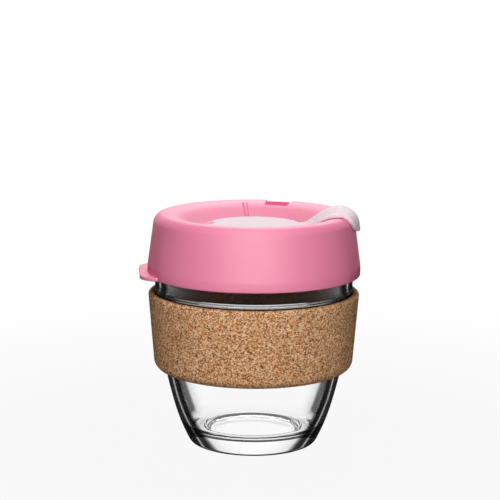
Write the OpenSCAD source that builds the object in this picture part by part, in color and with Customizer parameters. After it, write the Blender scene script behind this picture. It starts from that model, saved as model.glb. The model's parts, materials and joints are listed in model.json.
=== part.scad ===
// Glass travel cup with a cork grip band, a press-on lid and a swivel plug.
// Millimetres. Z is the axis of the cup, z = 0 is the table and +X is the drinking side.

/* [Glass cup] */
// Height of the glass from foot to lip
cup_h = 84; // [74:0.5:110]
// Outer radius of the glass at the lip
mouth_r = 41.05; // [38:0.05:48]
// Wall thickness of the glass
glass_t = 2.8; // [2:0.1:3.6]
// Thickness of the glass base above the table
base_t = 7; // [4:0.5:9]
// Height of the straight collar below the lip
collar_h = 10; // [6:0.2:12]
// Radius of the long arc of the side wall
wall_bow_r = 205; // [170:1:320]
// Height at which the wall turns in more sharply towards the foot
heel_h = 16; // [12:0.5:22]
// Radius of the arc between that height and the foot
heel_bow_r = 80; // [60:1:150]
// Rounding of the edge round the foot
foot_round = 3; // [2:0.5:7]
// Rounding between the inner floor and the wall
floor_round = 6; // [4:0.5:10]
// Width of the flat ring that the cup stands on
foot_ring_w = 4.5; // [3:0.5:8]
// Depth of the hollow under the base
push_up = 1; // [0.4:0.1:2]

/* [Cork band] */
// Height of the band
band_h = 32.5; // [24:0.5:36]
// Height of bare glass between the band and the lid
bare_glass_h = 7.2; // [4:0.2:12]
// Thickness of the band at its lower edge
band_low_t = 4.8; // [3.5:0.1:6.5]
// Thickness of the band at its upper edge
band_top_t = 2.8; // [2.2:0.1:4]
// Rounding of the lower outer edge
band_low_round = 4.4; // [1:0.1:6]
// Rounding of the upper outer edge
band_top_round = 1.3; // [0.4:0.1:1.8]
// Gap between the band and the glass
band_gap = 0.05; // [0.02:0.01:0.2]

/* [Lid shell] */
// Gap between the lid and the glass
lid_gap = 0.2; // [0.1:0.05:0.4]
// Thickness of the skirt at its lower edge
skirt_t = 2.75; // [2.2:0.05:4]
// Length of the skirt below the lip of the glass
skirt_overlap = 12.8; // [9:0.1:16]
// Height of the upright part of the skirt
skirt_upright_h = 3.9; // [2:0.1:8]
// Lean of the skirt above its upright part in degrees
skirt_lean = 7.8; // [4:0.2:9]
// Chamfer that leads the glass into the skirt
lead_in = 0.8; // [0.3:0.1:1.2]
// Height of the rim's crest above the lip of the glass
crest_rise = 12.3; // [11:0.1:15]
// Rounding of the crest on the outside
crest_round = 4.05; // [3:0.05:5.5]
// Rounding of the crest on the dish side
crest_round_in = 16.5; // [10:0.5:18]
// Depth of the dish below the crest
dish_depth = 6.5; // [5.5:0.05:8]
// Slope of the dish wall in degrees
dish_slope = 32; // [28:1:36]
// Rounding at the foot of the dish wall
dish_round = 6; // [4:0.5:9]
// Wall thickness of the dish
dish_t = 1.8; // [1.4:0.1:2.4]
// Ledge of the lid that sits on the lip of the glass
seat_w = 1.2; // [0.8:0.1:1.6]
// Thickness of the sealing ring inside the mouth
seal_t = 1.6; // [1:0.1:2.4]
// Depth of the sealing ring below the lip of the glass
seal_depth = 5; // [3:0.5:8]

/* [Lid features] */
// Width of the drinking opening across the lid
sip_w = 10.5; // [8:0.5:14]
// Length of the drinking opening along the radius
sip_l = 5.2; // [4.6:0.2:6]
// Land between the drinking opening and the sealing ring
sip_land = 0.9; // [0.5:0.1:2]
// Diameter of the air vent
vent_d = 1; // [0.6:0.1:1.2]
// Reach of the lift tab beyond the skirt
tab_reach = 3.4; // [2.5:0.1:8]
// Width of the lift tab
tab_w = 36; // [26:0.5:44]
// Direction of the lift tab, in degrees from the drinking side
tab_a = 187; // [150:1:210]
// Thickness of the lift tab
tab_t = 1.6; // [1:0.1:2.5]
// Rounding of the lift tab's corners
tab_corner = 11; // [2:0.5:12]
// Depth of the park recess in the crest
park_depth = 0.6; // [0.4:0.1:1.4]
// Reach of the park recess from the crest into the dish
park_reach = 6; // [3:0.5:8]
// Angle that the park recess spans
park_span = 17; // [10:1:24]
// Height of the stop rib on the dish wall
rib_h = 0.8; // [0.4:0.1:1.2]
// Angle that the stop rib spans
rib_span = 3.4; // [2:0.2:6]
// Angle left free between the open arm and the stop rib
rib_lag = 3.8; // [1:0.1:6]

/* [Swivel plug] */
// Turn of the plug from closed to open
open_angle = 75.5; // [50:0.5:110]
// Running gap between the plug and the lid
plug_gap = 0.2; // [0.1:0.05:0.4]
// Thickness of the disc
disc_t = 1.9; // [1.6:0.1:2.6]
// Rounding of the disc's upper edge
disc_round = 0.8; // [0.3:0.1:1.2]
// Width of the dish floor left open round the disc
moat_w = 1.6; // [1.2:0.1:3]
// Thickness of the arm
arm_t = 1.6; // [1.1:0.1:2]
// Half of the angle that the arm spans
arm_half_angle = 18.6; // [15:0.2:24]
// Drop of the arm's hooked end below the crest of the lid
hook_drop = 6; // [5:0.1:9.5]
// Rounding of the hooked end's corners
hook_corner = 8; // [1:0.5:9]
// Radius of the nail notch opposite the arm
notch_r = 4; // [2.5:0.5:6]
// Depth of the nail notch
notch_depth = 2.8; // [1:0.1:3.5]
// Radius of the swivel stem
stem_r = 5; // [3.5:0.1:7]
// Gap between the stem and its bore
stem_gap = 0.1; // [0.05:0.05:0.3]
// Overhang of the stem's snap head
head_lip = 1; // [0.6:0.1:1.5]
// Thickness of the stem's snap head
head_t = 1.6; // [1:0.1:2.4]

/* [Hidden] */
$fn = 96;

// Steps in a long arc and in a small rounding
arc_steps = 16;
round_steps = 8;
// Overlap of solids that are fused, and overrun of cuts
fuse = 0.3;
over = 2;

// Glass: two tangent arcs make the wall, the upper one centred level with the foot of the collar
wall_z = cup_h - collar_h;
wall_c = [mouth_r - wall_bow_r, wall_z];
heel_a = asin((heel_h - wall_z) / wall_bow_r);
heel_c = wall_c + (wall_bow_r - heel_bow_r) * direction(heel_a);
foot_r = nested_r(heel_c, heel_bow_r, foot_round, foot_round);
foot_a = atan2(foot_round - heel_c.y, foot_r - heel_c.x);
floor_z = base_t + floor_round;
floor_r = nested_r(heel_c, heel_bow_r - glass_t, floor_round, floor_z);
floor_a = atan2(floor_z - heel_c.y, floor_r - heel_c.x);
lip_round = glass_t / 2;
hollow_r = foot_r - foot_ring_w;
hollow_bow_r = (pow(hollow_r, 2) + pow(push_up, 2)) / (2 * push_up);

// Lid: heights from the lip of the glass, and the tangent arcs of its outline
skirt_in_r = mouth_r + lid_gap;
skirt_r = skirt_in_r + skirt_t;
skirt_z = cup_h - skirt_overlap;
lean_z = skirt_z + skirt_upright_h;
crest_z = cup_h + crest_rise;
crest_r = lean_r(crest_z - crest_round, -crest_round);
dish_z = crest_z - dish_depth;
slope_fall = dish_depth - (crest_round_in + dish_round) * (1 - cos(dish_slope));
dish_r = crest_r - (crest_round_in + dish_round) * sin(dish_slope) - slope_fall / tan(dish_slope);
seat_z = cup_h + lid_gap;
seal_out_r = mouth_r - glass_t - lid_gap;
seal_in_r = seal_out_r - seal_t;
seal_z = cup_h - seal_depth;
channel_r = mouth_r - seat_w;
channel_z = crest_z - dish_t - park_depth - fuse;
sip_r = seal_in_r - sip_land - sip_l / 2;
rib_a = open_angle + arm_half_angle + rib_lag + rib_span / 2;

// Cork band: its edges follow the lid and the arc of the glass
band_top_z = skirt_z - bare_glass_h;
band_low_z = band_top_z - band_h;
band_bow_r = wall_bow_r + band_gap;
band_low_in_r = wall_c.x + band_bow_r * cos(band_angle(band_low_z));
band_top_in_r = wall_c.x + band_bow_r * cos(band_angle(band_top_z));
band_low_edge = min(band_low_round, band_low_t - fuse);
band_top_edge = min(band_top_round, band_top_t - fuse);

// Plug
disc_r = dish_r - moat_w;
disc_z = dish_z + plug_gap;
head_z = dish_z - dish_t - plug_gap;
hook_z = crest_z - hook_drop;
hook_half_w = lean_r(hook_z, plug_gap + arm_t) * sin(arm_half_angle);

// The unit vector at an angle, and the points of an arc round centre c from angle a to angle b
function direction(a) = [cos(a), sin(a)];
function arc(c, r, a, b, n) = [for (i = [0 : n]) c + r * direction(a + (b - a) * i / n)];

// A list without its first point, and a list in reverse
function tail(v) = [for (i = [1 : len(v) - 1]) v[i]];
function reverse(v) = [for (i = [len(v) - 1 : -1 : 0]) v[i]];

// Radius of the centre, at height z, of a circle of radius q that touches a circle of radius r from inside
function nested_r(c, r, q, z) = c.x + sqrt(pow(r - q, 2) - pow(z - c.y, 2));

// Angle on the arc of the band's inner face at height z
function band_angle(z) = asin((z - wall_z) / band_bow_r);

// Radius, at height z, of a line at a distance d outside the leaning part of the skirt
function lean_r(z, d) = skirt_r - (z - lean_z) * tan(skirt_lean) + d / cos(skirt_lean);

// The lid's upper outline at a distance d outside it, in tangent stretches from height z to the dish floor
function shoulder_line(d) =
    arc([crest_r, crest_z - crest_round], crest_round + d, skirt_lean, 90, round_steps);
function crest_line(d, a = 90) =
    arc([crest_r, crest_z - crest_round_in], crest_round_in + d, a, 90 + dish_slope, round_steps);
function foot_line(d) =
    arc([dish_r, dish_z + dish_round], dish_round - d, dish_slope - 90, -90, round_steps);
function lid_line(d, z) =
    concat([[lean_r(z, d), z]], shoulder_line(d), tail(crest_line(d)), foot_line(d));

// Places a child on the circle of radius r at angle a
module on_circle(r, a) {
    rotate([0, 0, a]) translate([r, 0, 0]) children();
}

// Turns a profile through an angle that is centred on direction a
module sector(a, span) {
    rotate([0, 0, a - span / 2]) rotate_extrude(angle = span) children();
}

// A slot with round ends, long across the radius
module slot(l, w) {
    square([l, w - l], center = true);
    for (side = [-1, 1]) translate([0, side * (w - l) / 2]) circle(d = l);
}

module glass_cup() {
    outside = concat(
        arc([0, push_up - hollow_bow_r], hollow_bow_r, 90, acos(hollow_r / hollow_bow_r), round_steps),
        arc([foot_r, foot_round], foot_round, -90, foot_a, round_steps),
        tail(arc(heel_c, heel_bow_r, foot_a, heel_a, round_steps)),
        tail(arc(wall_c, wall_bow_r, heel_a, 0, arc_steps)));
    lip = arc([mouth_r - lip_round, cup_h - lip_round], lip_round, 0, 180, 2 * round_steps);
    inside = concat(
        arc(wall_c, wall_bow_r - glass_t, 0, heel_a, arc_steps),
        tail(arc(heel_c, heel_bow_r - glass_t, heel_a, floor_a, round_steps)),
        tail(arc([floor_r, floor_z], floor_round, floor_a, -90, round_steps)),
        [[0, base_t]]);
    color("lightcyan", 0.5) rotate_extrude() polygon(concat(outside, lip, inside));
}

module cork_band() {
    low_r = band_low_in_r + band_low_t;
    top_r = band_top_in_r + band_top_t;
    outside = concat(
        arc([low_r - band_low_edge, band_low_z + band_low_edge], band_low_edge, -90, 0, round_steps),
        arc([top_r - band_top_edge, band_top_z - band_top_edge], band_top_edge, 0, 90, round_steps));
    inside = arc(wall_c, band_bow_r, band_angle(band_top_z), band_angle(band_low_z), arc_steps);
    color("burlywood") rotate_extrude() polygon(concat(outside, inside));
}

// The moulded shell of the lid, with the channel that takes the lip of the glass
module lid_shell() {
    seal_a = acos((seal_in_r - crest_r) / (crest_round_in - dish_t));
    bore_r = stem_r + stem_gap;
    brim = [[skirt_in_r + lead_in, skirt_z], [skirt_r, skirt_z]];
    above = concat(brim, lid_line(0, lean_z), [[bore_r, dish_z]]);
    dish = concat(crest_line(-dish_t, seal_a), foot_line(-dish_t));
    below = concat([[bore_r, dish_z - dish_t]], reverse(dish));
    ring = [
        [seal_in_r, seal_z],
        [seal_out_r - seal_t / 2, seal_z],
        [seal_out_r, seal_z + seal_t / 2],
        [seal_out_r, channel_z],
        [channel_r, channel_z],
        [channel_r, seat_z],
        [skirt_in_r, seat_z],
        [skirt_in_r, skirt_z + lead_in]];
    rotate_extrude() polygon(concat(above, below, ring));
}

// The wide tongue on the skirt that a thumb lifts
module lift_tab() {
    tip_r = skirt_r + tab_reach;
    side = tab_w / 2;
    corner_c = [tip_r - tab_corner, side - tab_corner];
    half = concat([[0, side]], arc(corner_c, tab_corner, 90, 0, round_steps));
    other_half = reverse([for (p = half) [p.x, -p.y]]);
    translate([0, 0, skirt_z]) rotate([0, 0, tab_a]) linear_extrude(tab_t) difference() {
        polygon(concat(half, other_half));
        circle(skirt_r - skirt_t / 2);
    }
}

// The rib on the dish wall that stops the arm when the plug is open
module stop_rib() {
    outer = concat(crest_line(rib_h, 90 + dish_slope / 2), foot_line(rib_h));
    inner = concat(crest_line(-fuse, 90 + dish_slope / 2), foot_line(-fuse));
    sector(rib_a, rib_span) polygon(concat(outer, reverse(inner)));
}

// The recess across the crest that the open arm parks over
module park_recess() {
    centre = [crest_r, crest_z - crest_round_in];
    bed_r = crest_round_in - park_depth;
    outer_a = acos(crest_round / bed_r);
    inner_a = 90 + asin(park_reach / bed_r);
    bed = arc(centre, bed_r, outer_a, inner_a, round_steps);
    sky = arc(centre, crest_round_in + over, inner_a, outer_a, round_steps);
    sector(open_angle, park_span) polygon(concat(bed, sky));
}

module lid() {
    color("lightpink") difference() {
        union() {
            lid_shell();
            lift_tab();
            stop_rib();
        }
        park_recess();
        translate([sip_r, 0, dish_z - dish_t]) linear_extrude(dish_depth + over) slot(sip_l, sip_w);
        on_circle(disc_r + moat_w / 2, 180) translate([0, 0, dish_z - dish_t - over])
            cylinder(d = vent_d, h = dish_t + 2 * over);
    }
}

// The disc, its swivel stem and the snap head under the dish floor
module plug_disc() {
    head_r = stem_r + head_lip;
    low_z = head_z - head_t;
    top_z = disc_z + disc_t;
    edge = arc([disc_r - disc_round, top_z - disc_round], disc_round, 0, 90, round_steps);
    stem = [
        [0, low_z],
        [head_r - head_lip, low_z],
        [head_r, head_z - head_t / 2],
        [head_r, head_z],
        [stem_r, head_z],
        [stem_r, disc_z],
        [disc_r, disc_z]];
    rotate_extrude() polygon(concat(stem, edge, [[0, top_z]]));
}

// The arm follows the dish wall, the crest and the skirt of the lid at the running gap
module plug_arm() {
    root_r = disc_r - over;
    root_z = disc_z + disc_t / 2;
    upper = concat(lid_line(plug_gap + arm_t, hook_z), [[root_r, disc_z + arm_t]]);
    lower = concat([[root_r, root_z], [disc_r + moat_w / 4, disc_z]], reverse(lid_line(plug_gap, hook_z)));
    sector(0, 2 * arm_half_angle) polygon(concat(upper, lower));
}

// What is cut from a corner of the hooked end to round it
module hook_corner_cut() {
    reach = skirt_r + 2 * over;
    difference() {
        translate([0, 0, -over]) cube([reach, hook_corner + over, hook_corner + over]);
        translate([0, 0, hook_corner]) rotate([0, 90, 0]) cylinder(r = hook_corner + fuse / 10, h = reach);
    }
}

module plug() {
    color("whitesmoke") difference() {
        union() {
            plug_disc();
            plug_arm();
        }
        for (side = [0, 1]) mirror([0, side, 0]) translate([crest_r, hook_half_w - hook_corner, hook_z])
            hook_corner_cut();
        on_circle(disc_r + notch_r - notch_depth, 180) translate([0, 0, disc_z - over / 2])
            cylinder(r = notch_r, h = disc_t + over);
    }
}

glass_cup();
cork_band();
lid();
plug();
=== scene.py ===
"""Looks of a glass travel cup with a cork grip band, a press-on lid and a swivel plug.

Sizes are in millimetres and angles in degrees, as on a drawing. A finished mesh is scaled to metres.
The finishes, the floor and the lamps are in metres.
"""

import json
import logging
import math
from bisect import bisect_right
from dataclasses import dataclass, field
from enum import Enum

import bmesh
import bpy
from mathutils import Matrix, Vector


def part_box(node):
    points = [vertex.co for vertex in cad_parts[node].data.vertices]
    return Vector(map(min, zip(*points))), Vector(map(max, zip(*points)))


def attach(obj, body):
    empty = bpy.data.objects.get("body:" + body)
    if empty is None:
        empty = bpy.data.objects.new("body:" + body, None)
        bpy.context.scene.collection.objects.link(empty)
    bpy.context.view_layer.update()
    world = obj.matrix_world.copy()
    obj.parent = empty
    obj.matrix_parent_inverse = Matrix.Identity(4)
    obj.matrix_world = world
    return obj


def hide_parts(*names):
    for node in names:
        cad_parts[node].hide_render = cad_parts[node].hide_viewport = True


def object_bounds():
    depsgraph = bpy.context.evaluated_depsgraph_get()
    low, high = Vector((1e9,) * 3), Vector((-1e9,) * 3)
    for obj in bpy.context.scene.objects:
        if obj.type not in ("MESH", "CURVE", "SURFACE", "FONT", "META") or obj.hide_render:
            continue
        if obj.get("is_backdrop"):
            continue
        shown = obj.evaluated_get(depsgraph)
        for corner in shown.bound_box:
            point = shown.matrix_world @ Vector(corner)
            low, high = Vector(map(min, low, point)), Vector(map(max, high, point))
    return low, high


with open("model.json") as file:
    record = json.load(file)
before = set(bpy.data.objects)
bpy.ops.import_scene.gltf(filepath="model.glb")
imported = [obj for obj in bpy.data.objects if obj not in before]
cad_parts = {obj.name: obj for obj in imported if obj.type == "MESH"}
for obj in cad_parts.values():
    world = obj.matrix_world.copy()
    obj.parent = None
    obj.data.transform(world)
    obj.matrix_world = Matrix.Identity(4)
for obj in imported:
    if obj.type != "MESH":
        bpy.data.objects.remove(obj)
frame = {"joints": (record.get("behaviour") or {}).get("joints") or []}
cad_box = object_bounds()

log = logging.getLogger("travel_cup")

MM = 0.001
BAND_NODE = "cork_band"
CREASE_ANGLE = 38.0
MERGE_DISTANCE = 1e-4
AXIS = (0.0, 0.0, 1.0)
CENTRE = (0.0, 0.0, 0.0)
WHITE = (1.0, 1.0, 1.0)
BLACK = (0.0, 0.0, 0.0)
# How far a cutter stands out past what it cuts.
OVERCUT = 1.0
# Stretch of the turn away from the eye over which the gloss of a plastic fades.
EDGE_FADE = (0.15, 0.6)

Point = tuple[float, float]
Span = tuple[float, float]
Colour = tuple[float, float, float]
Place = tuple[float, float, float]
Vert = bmesh.types.BMVert
Socket = bpy.types.NodeSocket


class Body(Enum):
    """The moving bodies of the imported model."""

    CUP = "cup"
    LID = "lid"
    PLUG = "plug"


class Slot(Enum):
    """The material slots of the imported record."""

    GLASS = "clear_glass"
    CORK = "cork"
    LID = "lid_plastic"
    PLUG = "plug_rubber"


class Join(Enum):
    """How a second solid changes a first one."""

    ADD = "UNION"
    CUT = "DIFFERENCE"


class Rounded(Enum):
    """What a rounding works on."""

    POINTS = "VERTICES"
    EDGES = "EDGES"


def on_circle(centre: Point, radius: float, angle: float) -> Point:
    """Point at an angle on a circle in the plane of a profile."""
    turn = math.radians(angle)
    return centre[0] + radius * math.cos(turn), centre[1] + radius * math.sin(turn)


def arc(centre: Point, radius: float, start: float, end: float, steps: int) -> list[Point]:
    """Points along an arc in the plane of a profile, in equal steps from a start angle to an end angle."""
    return [on_circle(centre, radius, start + (end - start) * i / steps) for i in range(steps + 1)]


def between(start: Point, end: Point, steps: int) -> list[Point]:
    """Points along a straight line, in equal steps and without its two ends."""
    (r, z), (end_r, end_z) = start, end
    return [(r + (end_r - r) * i / steps, z + (end_z - z) * i / steps) for i in range(1, steps)]


def nested_radius(centre: Point, radius: float, small: float, height: float) -> float:
    """Distance from the axis to the centre of a small circle that touches a large one from inside."""
    return centre[0] + math.sqrt((radius - small) ** 2 - (height - centre[1]) ** 2)


def direction_of(centre: Point, point: Point) -> float:
    """Angle of the line from a centre to a point."""
    return math.degrees(math.atan2(point[1] - centre[1], point[0] - centre[0]))


def rectangle(near: float, far: float, half_w: float) -> list[Point]:
    """Corners, seen from above, of a rectangle that lies evenly across the X axis."""
    return [(near, -half_w), (far, -half_w), (far, half_w), (near, half_w)]


def soft_edge(value: float, edge: float, reach: Span) -> float:
    """Rises smoothly from 0 to 1 across an edge.

    Args:
        value: Place at which the rise is read.
        edge: Place of the edge.
        reach: How far before the edge the rise begins, and how far after it the rise ends.

    Returns:
        The share from 0 to 1.
    """
    low, high = edge - reach[0], edge + reach[1]
    t = min(max((value - low) / (high - low), 0.0), 1.0)
    return t * t * (3.0 - 2.0 * t)


def node_box(node: str) -> tuple[Vector, Vector]:
    """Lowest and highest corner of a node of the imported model, in millimetres."""
    low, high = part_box(node)
    return low / MM, high / MM


class Track:
    """A line of points that is read by the distance along it."""

    def __init__(self, points: list[Point]) -> None:
        """Measures the line.

        Args:
            points: Radius and height of each point, in order.
        """
        self.points = points
        self.marks = [0.0]
        for first, second in zip(points, points[1:]):
            self.marks.append(self.marks[-1] + math.dist(first, second))
        self.length = self.marks[-1]

    def at(self, distance: float) -> Point:
        """Finds a point on the line.

        Args:
            distance: How far the point is from the first one, along the line.

        Returns:
            Radius and height of the point.
        """
        place = min(max(bisect_right(self.marks, distance) - 1, 0), len(self.points) - 2)
        share = (distance - self.marks[place]) / (self.marks[place + 1] - self.marks[place])
        (r, z), (next_r, next_z) = self.points[place], self.points[place + 1]
        return r + (next_r - r) * share, z + (next_z - z) * share


class Shape:
    """A mesh in the making, in millimetres, shaped by mesh operators."""

    def __init__(self) -> None:
        """Starts with nothing."""
        self.bm = bmesh.new()

    def profile(self, points: list[Point], closed: bool = True) -> list[Vert]:
        """Draws a profile in the plane of the axis.

        Args:
            points: Radius and height of each point, in order.
            closed: Whether the last point joins the first.

        Returns:
            The vertices in the same order.
        """
        verts = [self.bm.verts.new((r, 0.0, z)) for r, z in points]
        for first, second in zip(verts, verts[1:]):
            self.bm.edges.new((first, second))
        if closed:
            self.bm.edges.new((verts[-1], verts[0]))
        return verts

    def plate(self, points: list[Point], low: float, high: float, corners: dict[int, float]) -> None:
        """Raises a flat plate with rounded corners.

        Args:
            points: Corners of the plate seen from above.
            low: Height of its lower face.
            high: Height of its upper face.
            corners: Rounding of a corner, by its place in points.
        """
        verts = [self.bm.verts.new((x, y, low)) for x, y in points]
        self.bm.faces.new(verts)
        for place, radius in corners.items():
            self.round_points([verts[place]], radius, segments=12)
        raised = bmesh.ops.extrude_face_region(self.bm, geom=self.bm.faces[:])
        top = [v for v in raised["geom"] if isinstance(v, Vert)]
        bmesh.ops.translate(self.bm, verts=top, vec=(0.0, 0.0, high - low))
        self.face_outwards()

    def rod(self, centre: Point, radius: float, low: float, high: float, sides: int = 64) -> None:
        """Stands a round rod upright.

        Args:
            centre: Place of its axis seen from above.
            radius: Radius of the rod.
            low: Height of its lower end.
            high: Height of its upper end.
            sides: Number of flats round it.
        """
        place = Matrix.Translation((*centre, (low + high) / 2.0))
        size = {"radius1": radius, "radius2": radius, "depth": high - low}
        bmesh.ops.create_cone(self.bm, cap_ends=True, segments=sides, matrix=place, **size)

    def bevel(self, what: Rounded, geom: list, radius: float, segments: int) -> None:
        """Rounds points or edges.

        Args:
            what: Whether points or edges are rounded.
            geom: The points or the edges.
            radius: Their rounding.
            segments: Number of strips in the rounding.
        """
        bmesh.ops.bevel(
            self.bm,
            geom=geom,
            offset=radius,
            offset_type="OFFSET",
            segments=segments,
            profile=0.5,
            affect=what.value,
            material=-1,
            clamp_overlap=True,
        )

    def round_points(self, verts: list[Vert], radius: float, segments: int = 5) -> None:
        """Rounds corners of an outline."""
        self.bevel(Rounded.POINTS, verts, radius, segments)

    def round_edges(self, radius: float, above: float, segments: int = 3) -> None:
        """Rounds every edge at which two faces meet sharply.

        Args:
            radius: Rounding of the edges.
            above: Angle between the faces from which an edge is sharp.
            segments: Number of strips in the rounding.
        """
        limit = math.radians(above)
        sharp = [e for e in self.bm.edges if e.is_manifold and e.calc_face_angle() > limit]
        self.bevel(Rounded.EDGES, sharp, radius, segments)

    def turn(self, legs: list[tuple[float, int]], start: float = 0.0) -> None:
        """Turns the profile about the axis.

        Args:
            legs: Angle and number of steps of each stretch of the turn.
            start: Direction in which the turn begins.
        """
        self.rotate(start)
        geom = self.bm.verts[:] + self.bm.edges[:]
        for angle, steps in legs:
            made = bmesh.ops.spin(
                self.bm,
                geom=geom,
                cent=CENTRE,
                axis=AXIS,
                dvec=CENTRE,
                angle=math.radians(angle),
                steps=steps,
                use_merge=len(legs) == 1 and angle == 360.0,
                use_duplicate=False,
            )
            geom = made["geom_last"]
        self.face_outwards()

    def close_ends(self) -> None:
        """Fills the open ends of a part turn."""
        open_edges = [e for e in self.bm.edges if e.is_boundary]
        bmesh.ops.holes_fill(self.bm, edges=open_edges, sides=0)
        self.face_outwards()

    def face_outwards(self) -> None:
        """Merges double points and points every face outwards."""
        bmesh.ops.remove_doubles(self.bm, verts=self.bm.verts, dist=MERGE_DISTANCE)
        bmesh.ops.recalc_face_normals(self.bm, faces=self.bm.faces)

    def rotate(self, angle: float) -> None:
        """Turns the whole shape about the axis."""
        turn = Matrix.Rotation(math.radians(angle), 3, "Z")
        bmesh.ops.rotate(self.bm, verts=self.bm.verts, cent=CENTRE, matrix=turn)

    def join(self, other: "Shape", how: Join) -> None:
        """Adds another solid to this one, or cuts it away.

        Args:
            other: The second solid, which is used up.
            how: Whether it is added or cut away.
        """
        first, second = self.to_object("first"), other.to_object("second")
        step = first.modifiers.new(how.name, "BOOLEAN")
        step.operation = how.value
        step.solver = "EXACT"
        step.object = second
        bpy.context.view_layer.update()
        ready = first.evaluated_get(bpy.context.evaluated_depsgraph_get())
        self.bm = bmesh.new()
        self.bm.from_mesh(ready.to_mesh())
        ready.to_mesh_clear()
        for used in (first, second):
            mesh = used.data
            bpy.data.objects.remove(used)
            bpy.data.meshes.remove(mesh)

    def to_object(self, name: str) -> bpy.types.Object:
        """Hands the mesh over to a new object of the scene.

        Args:
            name: Name of the object.

        Returns:
            The object, at the origin.
        """
        mesh = bpy.data.meshes.new(name)
        self.bm.to_mesh(mesh)
        self.bm.free()
        made = bpy.data.objects.new(name, mesh)
        bpy.context.scene.collection.objects.link(made)
        return made

    def finish(self, name: str) -> bpy.types.Object:
        """Scales the mesh to metres and shades it smooth between its creases.

        Args:
            name: Name of the piece.

        Returns:
            The finished piece, at the origin.
        """
        bmesh.ops.scale(self.bm, vec=(MM, MM, MM), verts=self.bm.verts)
        made = self.to_object(name)
        made.data.shade_smooth()
        made.data.set_sharp_from_angle(angle=math.radians(CREASE_ANGLE))
        return made


class NodeBoard:
    """A node tree, with short calls to add and join nodes."""

    def __init__(self, tree: bpy.types.NodeTree) -> None:
        """Takes up a tree."""
        self.tree = tree

    def add(self, kind: str, inputs: dict | None = None, **settings: object) -> bpy.types.Node:
        """Adds a node.

        Args:
            kind: Type of the node.
            inputs: Values of its sockets, by name or number. A socket of another node is joined.
            settings: Values of its own settings.

        Returns:
            The new node.
        """
        node = self.tree.nodes.new(kind)
        for name, value in settings.items():
            setattr(node, name, value)
        for name, value in (inputs or {}).items():
            self.feed(node, name, value)
        return node

    def feed(self, node: bpy.types.Node, name: str | int, value: object) -> None:
        """Sets a socket to a value, or joins it to another socket.

        Args:
            node: The node that has the socket.
            name: Name or number of the socket.
            value: A value, a colour or the other socket.
        """
        socket = node.inputs[name]
        if isinstance(value, Socket):
            self.tree.links.new(value, socket)
        else:
            socket.default_value = (*value, 1.0) if socket.type == "RGBA" else value

    def math(self, how: str, first: object, second: object = 0.0) -> Socket:
        """Works out a value from one or two others."""
        return self.add("ShaderNodeMath", {0: first, 1: second}, operation=how).outputs[0]

    def spread(
        self, value: Socket, low: float, high: float, start: float = 0.0, until: float = 1.0, **settings: str
    ) -> Socket:
        """Maps a value between a start and an end onto a range."""
        sockets = {"Value": value, "From Min": start, "From Max": until, "To Min": low, "To Max": high}
        return self.add("ShaderNodeMapRange", sockets, **settings).outputs["Result"]

    def seen_directly(self) -> Socket:
        """Finds what the camera sees straight, mirrored or through glass.

        Returns:
            The socket that is 1 there and 0 elsewhere.
        """
        path = self.add("ShaderNodeLightPath").outputs
        found = path["Is Camera Ray"]
        for name in ("Is Glossy Ray", "Is Transmission Ray"):
            found = self.math("MAXIMUM", found, path[name])
        return found


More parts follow.
